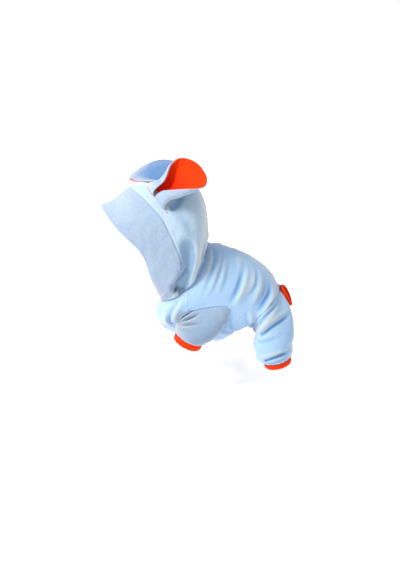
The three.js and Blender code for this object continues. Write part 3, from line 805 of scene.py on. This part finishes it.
for word, side, rows, seed in (("left", 1, SLEEVE_LEFT, 21), ("right", -1, SLEEVE_RIGHT, 22)):
    sleeve = leg_cloth(
        f"sleeve_{word}_cloth", armhole_edge(side, 60), rows, side, 56, SLEEVE_CREASES, seed
    )
    cuff = cuff_cloth(f"cuff_front_{word}_band", rows, side, CUFF["front"])
    dress(sleeve, f"sleeve_{word}", shaded_sleeve_fleece)
    dress(cuff, f"cuff_front_{word}", orange_knit)

# Trouser legs and hind cuffs.
# A fleece leg hangs on each side from the hip seam, half the tail opening, the crotch and the
# belly's edge. It is bent, which folds its front, and it bags in a roll above its orange cuff.
TROUSER_LEFT = table(
    LEG_COLUMNS,
    [128, 42, 148, 40, 40, 20, 0, 0],
    [130, 48, 132, 37, 37, 18, 0.4, 12],
    [130, 53, 116, 35, 34, 16, 0.85, 28],
    [127, 58, 100, 36, 31, 14, 1, 42],
    [127, 62, 86, 33, 28, 15, 1, 52],
    [129, 64, 75, 32, 28, 15, 1, 60],
    [133, 66, 67, 24, 22, 15, 1, 66],
)
RIGHT_LEG_FORWARD = 12
TROUSER_RIGHT = TROUSER_LEFT | {
    "x": TROUSER_LEFT["x"] - RIGHT_LEG_FORWARD * np.linspace(0, 1, len(TROUSER_LEFT["x"]))
}
TAIL = {"angle": 14, "sideX": 149, "sideY": 18, "sideZ": 154, "lowX": 155, "lowZ": 136}
CROTCH = {"midX": 137, "midZ": 113, "frontX": 108, "frontZ": 109}
LEG_TOP_CENTRE = np.array([126, 30, 128])


def through(points, steps):
    """A smooth curve through points, by the same interpolation as the tables."""
    columns = dict(zip("xyz", np.array(points, float).T))
    curve = at(columns, np.linspace(0, len(points) - 1, steps + 1))
    return np.stack([curve["x"], curve["y"], curve["z"]], -1)


def tail_edge(side, steps):
    """One half of the tail opening, from the hip seam round to the point below the tail."""
    top = section(BODY, HIP_RING, side * TAIL["angle"])
    return through(
        [
            top,
            [
                mix(top[0], TAIL["sideX"], 0.5),
                -side * TAIL["sideY"] * 0.96,
                mix(top[2], TAIL["sideZ"], 0.45),
            ],
            [TAIL["sideX"], -side * TAIL["sideY"], TAIL["sideZ"]],
            [TAIL["lowX"], -side * TAIL["sideY"] * 0.62, mix(TAIL["sideZ"], TAIL["lowZ"], 0.75)],
            [TAIL["lowX"], -side * 0.3, TAIL["lowZ"]],
        ],
        steps,
    )


def trouser_edge(side):
    """The loop that a trouser leg hangs from, in the same form as armhole_edge."""
    share = np.linspace(0, 1, 61)
    hip = np.full(61, HIP_RING)
    degrees = side * mix(panel_edge(hip, "up"), TAIL["angle"], share)
    outer = section(BODY, hip, degrees)
    tail = tail_edge(side, 24)[1:]
    crotch = through(
        [
            tail[-1],
            [CROTCH["midX"], -side * 0.3, CROTCH["midZ"]],
            [CROTCH["frontX"], -side * 0.3, CROTCH["frontZ"]],
        ],
        24,
    )[1:]
    start = outer[0]
    belly = through(
        [
            crotch[-1],
            [
                mix(CROTCH["frontX"], start[0], 0.45),
                start[1] * 0.6,
                mix(CROTCH["frontZ"], start[2], 0.4),
            ],
            start,
        ],
        24,
    )[1:-1]
    inner = np.concatenate([tail, crotch, belly])
    away = unit(inner - LEG_TOP_CENTRE * [1, -side, 1])
    around = np.concatenate(
        [
            mix(195, 350, share),
            np.linspace(350, 395, 25)[1:],
            np.linspace(395, 480, 25)[1:],
            np.linspace(480, 555, 25)[1:-1],
        ]
    )
    fall = np.concatenate(
        [
            smooth(12 * (1 - share), 0, 4),
            np.zeros(48),
            smooth(np.linspace(0, 1, 25)[1:-1], 0, 1),
        ]
    )
    normals = np.concatenate([outward(BODY, hip, degrees), away])
    return np.concatenate([outer, inner]), normals, around, fall


TROUSER_CREASES = table(
    CREASE_COLUMNS,
    [0.26, 0.06, 0.21, 0.2, 0.25, 0.5, 3.4, 4.4, -0.35, 1.0, 0.05, 0.5],
    [0.2, 0.09, 0.15, 0.2, 0.13, 0.36, 2.6, 4.2, 0.3, 0.7, 0.05, 0.5],
    [0.07, 0.03, 0.05, 0.14, 0.02, 0.3, 1.8, 4.0, 0.2, 0.3, 0.1, 0.4],
    [0.34, 0.05, 0.33, 0.15, 0.33, 0.34, 2.0, 4.2, -0.3, 0.7, 0.05, 0.6],
    [0.72, 0.1, 0.64, 0.2, 0.6, 0.36, 3.2, 4.0, -0.4, 1.2, 0.1, 0.3],
    [0.82, 0.12, 0.76, 0.24, 0.74, 0.4, 1.6, 3.4, -0.3, 0.8, 0.2, 0.4],
    [0.3, 0.55, 0.4, 0.62, 0.5, 0.72, 1.8, 5.5, 0.2, 0.3, 0.3, 0.4],
    [0.74, 0.5, 0.77, 0.6, 0.75, 0.72, 2.4, 4.4, -0.3, 0.8, 0.3, 0.3],
    [0.15, 0.8, 0.3, 0.86, 0.5, 0.92, 1.8, 5.5, 0.2, 0.3, 0.3, 0.4],
    [0.8, 0.78, 0.82, 0.86, 0.8, 0.95, 1.8, 4.2, -0.3, 0.5, 0.3, 0.3],
)
for word, side, rows, seed in (("left", 1, TROUSER_LEFT, 31), ("right", -1, TROUSER_RIGHT, 32)):
    trouser = leg_cloth(
        f"trouser_{word}_cloth", trouser_edge(side), rows, side, 84, TROUSER_CREASES, seed
    )
    cuff = cuff_cloth(f"cuff_hind_{word}_band", rows, side, CUFF["hind"])
    dress(trouser, f"trouser_{word}", body_fleece)
    dress(cuff, f"cuff_hind_{word}", orange_knit)

# Tail collar.
# A short orange band stands round the hole for the tail, sewn to the hip seam and the trousers.
COLLAR = {"length": 7, "start": 1.7, "bulge": 0.6, "mouth": 0.2}


def tail_collar():
    """A band carried straight out from the tail opening's edge, resampled at even steps."""
    left, right = tail_edge(1, 30), tail_edge(-1, 30)
    top = section(BODY, HIP_RING, 0.0)
    low = np.array([TAIL["lowX"], 0, TAIL["lowZ"]])
    loop = np.concatenate([[top], left[:-1], [low], right[:-1][::-1], [top]])
    far = np.concatenate([[0], np.cumsum(np.linalg.norm(np.diff(loop, axis=0), axis=1))])
    even = np.linspace(0, far[-1], 120, endpoint=False)
    loop = np.stack([np.interp(even, far, loop[:, k]) for k in range(3)], -1)
    for _ in range(6):
        loop = (np.roll(loop, 1, 0) + 2 * loop + np.roll(loop, -1, 0)) / 4
    centre = loop.mean(0)
    out = unit(np.array([top[2] - TAIL["lowZ"], 0, TAIL["lowX"] - top[0]]))
    up = edged(np.linspace(0, 1, 9), COLLAR["length"], RIB / 2)
    radial = unit(loop - centre)
    flare = COLLAR["bulge"] * np.sin(np.pi * up) + COLLAR["mouth"] * up
    grid = loop + out * (COLLAR["start"] + up * COLLAR["length"])[:, None, None]
    grid = grid + radial * flare[:, None, None]
    flat = unit(radial - (radial @ out)[:, None] * out)
    normals = np.broadcast_to(flat, grid.shape).copy()
    course = np.broadcast_to(even, grid.shape[:2])
    return build_cloth("tail_collar_band", grid, normals, RIB, True, {"course": course})


collar = tail_collar()
dress(collar, "tail_collar", orange_knit)

# Hood: band and two crown halves.
# The hood's front is a wide band of fleece, two layers turned together along the face edge. The
# crown behind it is two shaped halves that meet in a seam over the top. The hood is roomy, so
# it sinks in a long hollow low on each side and rolls out again before the neck seam.
HOOD = table(
    "backX backZ lowX lowZ half lag square turn",
    [-165, 331, -74, 168, 46, 17, 2.2, 8],
    [-144, 338, -75, 166, 54, 26, 2.2, 7],
    [-122, 355, -75, 164, 60, 38, 2.2, 6],
    [-93, 362, -75, 163, 64, 44, 2.2, 5],
    [-58, 366, -74, 161, 66, 40, 2.2, 4],
    [-26, 364, -74, 160, 66, 33, 2.2, 3],
    [-3, 351, -73, 158, 64, 27, 2.2, 2],
    [8, 328, -72, 156, 61, 23, 2.2, 1],
    [12.5, 297, -72, 155, 58, 19, 2.1, 0],
    [14.5, 268, -71, 153, 55, 16, 2.0, 0],
    [9, 251, -70, 152, 46, 12, 2.0, 0],
)
TURN_X = -20
BAND_SEAM = table(
    "angle ring",
    [0, 2.3],
    [15, 2.65],
    [30, 2.95],
    [45, 3.1],
    [60, 2.95],
    [75, 2.8],
    [90, 2.9],
    [105, 3.4],
    [120, 4.6],
    [135, 6.8],
    [150, 9.3],
)
BAND_CLOTH = 2.7
NECK_RING = 10.0
THROAT_TURN = 150
HOOD_CREASES = mirrored(
    table(
        CREASE_COLUMNS,
        [3.8, 60, 5.1, 104, 8.1, 131, -9.0, 11.0, 0.0, 0.0, 0.35, 0.12],
        [3.9, 104, 4.05, 124, 2.6, 143, 2.2, 5.0, 0.4, 1.0, 0.25, 0.45],
        [4.9, 106, 5.3, 122, 5.2, 138, -3.2, 8.0, 0.0, 0.0, 0.3, 0.5],
        [5.4, 108, 6.6, 120, 8.9, 127, 2.8, 4.5, 0.2, 0.4, 0.25, 0.2],
        [6.4, 48, 7.05, 78, 8.9, 112, 3.2, 9.0, 0.0, 0.0, 0.3, 0.3],
        [3.75, 34, 4.4, 27, 5.4, 12, -2.6, 6.5, 0.0, 0.0, 0.25, 0.5],
        [4.0, 20, 4.7, 48, 5.6, 66, -1.2, 8.0, 0.0, 0.0, 0.4, 0.4],
        [8.2, 20, 8.7, 50, 9.0, 84, -1.8, 5.0, 0.0, 0.0, 0.4, 0.3],
        [0.5, 20, 1.2, 30, 1.8, 44, 0.9, 7.0, 0.0, 0.0, 0.4, 0.4],
    ),
    seed=8,
)
HOOD_PATHS = on_surface(HOOD, HOOD_CREASES)


def hood_cloth(name, ring, degrees, thickness, seams, seed):
    """A hood panel over its grid of rings and angles, with creases, lumps and seam relief."""
    base = section(HOOD, ring, degrees)
    normals = outward(HOOD, ring, degrees)
    creased = crease_lift(base, normals, HOOD_PATHS, HOOD_CREASES)
    relief = 0.45 * lumps(base, seed)
    edges = border(base, False)
    down, across = lengths(base, 0), lengths(base, 1)
    for edge in seams:
        along = down if edge in ("left", "right") else across
        relief = relief + seam_relief(edges[edge], along, seed + len(edge))
    outside = base + normals * (creased + relief)[..., None]
    return build_cloth(name, outside, normals, thickness, False, {"ridge": creased}, seams)


def band_ring(degrees):
    """The ring of the band's seam at an angle; past the throat's turn it stays the same."""
    return meeting(BAND_SEAM, "angle", np.minimum(abs(degrees), THROAT_TURN))["ring"]


# Like the body fleece, each takes a painted-shade blue for hollows and a painted-highlight greige
# for ridges.
band_fleece = fleece("band_fleece", "#8ba0bb", "#7b93b3", "#a3acb4", 0.06)
hood_fleece = fleece("hood_fleece", "#9db5ca", "#7593b4", "#aeb7bd", 0.04)
down = edged(np.linspace(0, 1, 46), 58, BAND_CLOTH / 2)
throat = THROAT_TURN + edged(np.linspace(0, 1, 14), 30, BAND_CLOTH / 2)[1:-4] * 30
angles = np.concatenate([np.linspace(0, THROAT_TURN, 118), throat, [180]])
angles = np.concatenate([-angles[::-1], angles[1:]])
share, degrees = np.meshgrid(down, angles, indexing="ij")
whole = np.where(abs(degrees) > THROAT_TURN, NECK_RING, band_ring(degrees))
band = hood_cloth("hood_band_cloth", share * whole, degrees, BAND_CLOTH, ("last",), 41)
dress(band, "hood_band", band_fleece)

CROWNS = (("left", 1, 42), ("right", -1, 43))
down = edged(np.linspace(0, 1, 90), 150, FLEECE / 2)
for word, side, seed in CROWNS:
    turn = edged(np.linspace(0, 1, 110), 190, FLEECE / 2) * THROAT_TURN * side
    share, degrees = np.meshgrid(down, turn, indexing="ij")
    ring = mix(band_ring(degrees), NECK_RING, share)
    crown = hood_cloth(
        f"hood_crown_{word}_cloth", ring, degrees, FLEECE, ("first", "last", "left"), seed
    )
    dress(crown, f"hood_crown_{word}", hood_fleece)

# Ears.
# Each ear is a blue fleece outer and an orange lining, sewn round the rim and turned, folded at
# its base and caught in a slit of the crown. The left one is flung back and open, and the right
# one leans away, so that from the left only the rim of its lining shows.
EAR_CLOTH = 1.8
LINING = 1.3
EAR_COLUMNS = "x y z acrossX acrossY acrossZ half depth curl"
EAR_LEFT = table(
    EAR_COLUMNS,
    [-76, 34, 350, 0.53, -0.7, -0.49, 22, 8, 172],
    [-46, 36, 363, 0.53, -0.7, -0.49, 23, 10, 158],
    [-23, 38, 382, 0.53, -0.62, -0.56, 31, 12, 138],
    [4, 38, 399, 0.54, -0.58, -0.62, 35, 14, 72],
)
EAR_RIGHT = table(
    EAR_COLUMNS,
    [-80, 30, 355, 0.98, 0, 0.04, 34, 6, 100],
    [-81, 50, 364, 0.98, 0, 0.04, 40, 8, 80],
    [-75, 72, 372, 0.98, 0, 0.12, 41, 12, 72],
    [-67, 92, 375, 0.98, 0, 0.1, 38, 14, 58],
)
SLIT = {"ring": 3.6, "angle": 21, "reach": 12, "depth": 0.28, "clear": 1.4}
TIP_LEFT = {"least": 0.16, "skew": 0.06, "side": 2.3, "end": 2.2}
TIP_RIGHT = {"least": 0.3, "skew": -0.05, "side": 2.5, "end": 2.2}


def ear_point(rows, side, across, along):
    """A point of an ear: an arc across the fold, carried along the ear's floor.

    across runs from -1 to 1 between the rims and along from the slit to the tip. Near the slit
    the point slides onto the slit's own loop on the hood.
    """
    last = len(rows["x"]) - 1
    place = along * last
    row = at(rows, place)
    ahead, behind = at(rows, np.minimum(place + 0.05, last)), at(rows, np.maximum(place - 0.05, 0))
    axis = unit(
        np.stack([ahead["x"] - behind["x"], behind["y"] - ahead["y"], ahead["z"] - behind["z"]], -1)
    )
    wide = unit(np.stack([row["acrossX"], row["acrossY"], row["acrossZ"]], -1))
    face = unit(np.cross(wide, axis))
    turn = np.radians(row["curl"] * across)
    point = np.stack([row["x"], -row["y"], row["z"]], -1)
    point = point + wide * (row["half"] * np.sin(turn))[..., None]
    point = point + face * (row["depth"] * (1 - np.cos(turn)))[..., None]
    point[..., 1] *= side
    ring = SLIT["ring"] + SLIT["depth"] * np.cos(turn)
    degrees = side * (SLIT["angle"] + SLIT["reach"] * np.sin(turn))
    base = section(HOOD, ring, degrees) + SLIT["clear"] * outward(HOOD, ring, degrees)
    return base + (point - base) * smooth(place, -0.05, 0.7)[..., None]


def ear_length(tip, across):
    """The rounded outline: how far along the ear its edge lies at each place across."""
    skewed = abs(across - tip["skew"] * (1 - across**2))
    return mix(tip["least"], 1, np.maximum(0, 1 - skewed ** tip["side"]) ** (1 / tip["end"]))


def ear_grid(rows, tip, side, low, high, inset):
    """Points and normals of an ear between two shares across.

    inset is how much shorter the ear is, but for its rim at 1, so that the lining shows there.
    """
    ways = np.sin(np.radians(np.linspace(-90, 90, 90))) * (high - low) / 2 + (high + low) / 2
    rounded = edged(np.linspace(0, 1, 70), 80, EAR_CLOTH / 2)
    down, across = np.meshgrid(rounded, ways, indexing="ij")
    far = ear_length(tip, across) - inset * smooth(-across, -0.85, -0.3)
    middle = ear_point(rows, side, across, mix(0.02, far, down))
    return middle, grid_normals(middle, False, side)


# Its darker blue is painted shade in hollows and on the right ear's back; its greige is a painted
# highlight on ridges.
ear_fleece = fleece("ear_fleece", "#8a9fb8", "#4f77a8", "#a3abb2", 0.03)
# Word, side, rows, tip, inset, how far round the lining reaches, and the flat size in metres.
EARS = (
    ("left", 1, EAR_LEFT, TIP_LEFT, 0.0, 0.97, (0.09, 0.1)),
    ("right", -1, EAR_RIGHT, TIP_RIGHT, 0.05, 1.0, (0.085, 0.085)),
)
for word, side, rows, tip, inset, rim, size in EARS:
    middle, normals = ear_grid(rows, tip, side, inset - 1, 1, inset)
    wave = 0.5 * lumps(middle, 51 + side, (16, 40))
    outside = middle + normals * (EAR_CLOTH / 2 + wave)[..., None]
    # Painted shade: over one half of its back the right ear is painted the darker blue of the ear
    # fleece, for the shade it lies in.
    hollow = 4.0 * (side < 0) * smooth(np.linspace(-1, 1, wave.shape[1]), -0.6, 0.3)
    outer = build_cloth(
        f"ear_{word}_outer_cloth", outside, normals, EAR_CLOTH, False, {"ridge": wave - hollow}
    )
    middle, normals = ear_grid(rows, tip, side, -rim, 0.97, 0.0)
    wave = 0.5 * lumps(middle, 51 + side, (16, 40))
    outside = middle + normals * (wave - EAR_CLOTH / 2 - 0.1)[..., None]
    # Painted shade and bounced light: the lining is painted redder towards its base, far inside the
    # fold.
    painted_shade = 1 - smooth(np.linspace(0, 1, len(wave)), 0.1, 0.75)
    marks = {"course": np.zeros_like(wave), "fold": np.tile(painted_shade[:, None], wave.shape[1])}
    lining = build_cloth(f"ear_{word}_lining_cloth", outside, normals, LINING, False, marks)
    dress(outer, f"ear_{word}_outer", ear_fleece)
    dress(lining, f"ear_{word}_lining", orange_knit)

# Stitches of the ear slits.
# Orange-red thread closes each slit beside the ear: short straight stitches on the crown, in line
# with the slit's front edge. They are drawn a little thicker than thread, so that they show.
STITCH = {"length": 2.6, "radius": 0.45, "pitch": 3.1, "raised": 0.1, "bend": 2.4}
SLIT_LINE = table(CREASE_COLUMNS, [3.14, 6, 3.3, 20, 3.66, 38, 0, 1, 0, 0, 0, 0])


def stitch_row(name, points, normals):
    """Short rods along a line over the cloth, as one mesh.

    Each rod is rings of eight points round a straight spine, which dips by the cube of the
    distance from its middle, and the rings shrink to a point at both ends.
    """
    far = np.concatenate([[0], np.cumsum(np.linalg.norm(np.diff(points, axis=0), axis=1))])
    middles = np.arange(STITCH["pitch"] / 2, far[-1], STITCH["pitch"])

    def along_line(values, places):
        return np.stack([np.interp(places, far, values[:, k]) for k in range(3)], -1)

    here, up = along_line(points, middles), along_line(normals, middles)
    along = unit(along_line(points, middles + 0.5) - here)
    side = unit(np.cross(up, along))
    here = here + up * (STITCH["radius"] * 0.6 + STITCH["raised"])
    shares = np.array([-0.5, -0.42, -0.2, 0.2, 0.42, 0.5])
    widths = np.array([0.05, 0.7, 1.0, 1.0, 0.7, 0.05]) * STITCH["radius"]
    spine = here[:, None] + along[:, None] * (shares * STITCH["length"])[:, None]
    spine = spine - up[:, None] * (abs(shares) ** 3 * STITCH["bend"])[:, None]
    turn = np.linspace(0, 2 * np.pi, 8, endpoint=False)[:, None]
    ring = np.cos(turn) * side[:, None] + np.sin(turn) * up[:, None]
    rods = spine[:, :, None] + widths[:, None, None] * ring[:, None]
    label = np.arange(rods[..., 0].size).reshape(rods.shape[:3])
    ahead = np.roll(label, -1, 2)
    sides = np.stack([label[:, :-1], ahead[:, :-1], ahead[:, 1:], label[:, 1:]], -1)
    caps = np.concatenate([label[:, 0, ::-1], label[:, -1]])
    mesh = bpy.data.meshes.new(name)
    vertices = (rods.reshape(-1, 3) - WITHERS) / 1000
    mesh.from_pydata(vertices.tolist(), [], sides.reshape(-1, 4).tolist() + caps.tolist())
    mesh.shade_smooth()
    piece = bpy.data.objects.new(name, mesh)
    bpy.context.scene.collection.objects.link(piece)
    return piece


thread, tree = new_material("orange_red_thread")
place = add(tree, "ShaderNodeTexCoord").outputs["Object"]
strands = add(tree, "ShaderNodeTexNoise", {"Vector": place, "Scale": 1500.0, "Detail": 2.0})
tone = add(
    tree,
    "ShaderNodeMix",
    {0: strands.outputs["Fac"], 6: linear("#9c1408"), 7: linear("#d8402a")},
    data_type="RGBA",
)
shader = add(
    tree,
    "ShaderNodeBsdfPrincipled",
    {"Base Color": tone.outputs[2], "Roughness": 0.6, "Specular IOR Level": 0.3},
)
add(tree, "ShaderNodeOutputMaterial", {"Surface": shader.outputs[0]})

for word, side, seed in CROWNS:
    places = bezier(SLIT_LINE, 60)[0]
    ring, degrees = places[:, 0], places[:, 1] * side
    base, normals = section(HOOD, ring, degrees), outward(HOOD, ring, degrees)
    lift = crease_lift(base, normals, HOOD_PATHS, HOOD_CREASES) + 0.45 * lumps(base, seed)
    stitches = stitch_row(f"ear_{word}_slit_stitches", base + normals * lift[:, None], normals)
    stitches.data.materials.append(thread)
    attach(stitches, "root")
